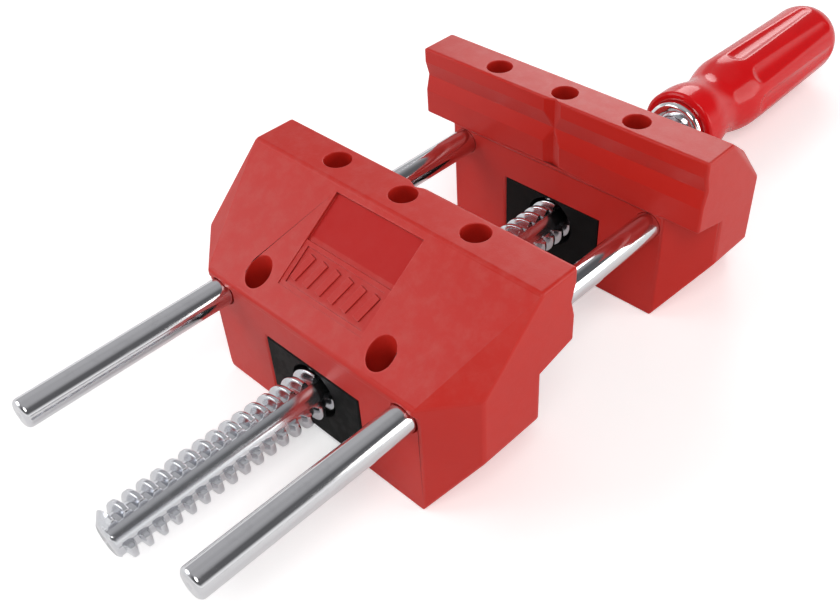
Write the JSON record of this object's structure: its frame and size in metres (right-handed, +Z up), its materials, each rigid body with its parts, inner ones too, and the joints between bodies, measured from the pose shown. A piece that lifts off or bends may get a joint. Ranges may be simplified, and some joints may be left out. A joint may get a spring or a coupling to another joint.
{
  "type": "twin-rod bench vise",
  "caption": "Portable bench vise with two wedge-shaped red plastic jaws, twin bright guide rods, a fluted screw spindle and an in-line red handle.",
  "frame": {"origin": "on the base plane, under the middle of the whole vise as drawn, with the jaws 53 mm apart", "axes": "+X along the jaws, +Y along the guide rods towards the handle, +Z up"},
  "size_m": [0.1, 0.3204, 0.058],
  "materials": {
    "jaw_plastic": "moulded glass-filled plastic, red, fine satin texture",
    "block_plastic": "moulded black plastic, satin",
    "rod_steel": "ground and bright-plated guide rod",
    "spindle_steel": "bright zinc-plated rolled thread",
    "hardware_steel": "zinc-plated fasteners and turned rings",
    "dark_steel": "oiled spring steel",
    "bush_bronze": "sintered bronze",
    "ferrule_chrome": "polished chrome-plated ferrule",
    "grip_red": "clear glossy red, slightly translucent"
  },
  "bodies": {
    "fixed_jaw": {"rear_jaw": "jaw_plastic", "guide_rod_left": "rod_steel", "guide_rod_right": "rod_steel", "rod_pins": "hardware_steel", "thrust_block": "block_plastic", "thrust_block_screws": "hardware_steel", "spindle_bush": "bush_bronze", "thrust_washer": "hardware_steel"},
    "sliding_jaw": {"front_jaw": "jaw_plastic", "guide_bush_left": "bush_bronze", "guide_bush_right": "bush_bronze", "nut_block": "block_plastic", "thread_nut": "spindle_steel", "nut_block_screws": "hardware_steel"},
    "spindle_set": {"spindle": "spindle_steel", "retaining_ring": "dark_steel", "thrust_collar": "hardware_steel", "collar_pin": "dark_steel", "ferrule": "ferrule_chrome", "handle_grip": "grip_red", "handle_pin": "dark_steel"}
  },
  "joints": [
    {"name": "spindle_turn", "type": "hinge", "parent": "fixed_jaw", "child": "spindle_set", "pos_m": [0, 0, 0.016], "axis": [0, 1, 0], "range_deg": [-4765, 4235]},
    {"name": "jaw_slide", "type": "slide", "parent": "fixed_jaw", "child": "sliding_jaw", "axis": [0, 1, 0], "range_m": [-0.047, 0.0529]}
  ],
  "couplings": [
    {"joint": "spindle_turn", "follows": "jaw_slide", "rad_per_m": -1570.8}
  ]
}
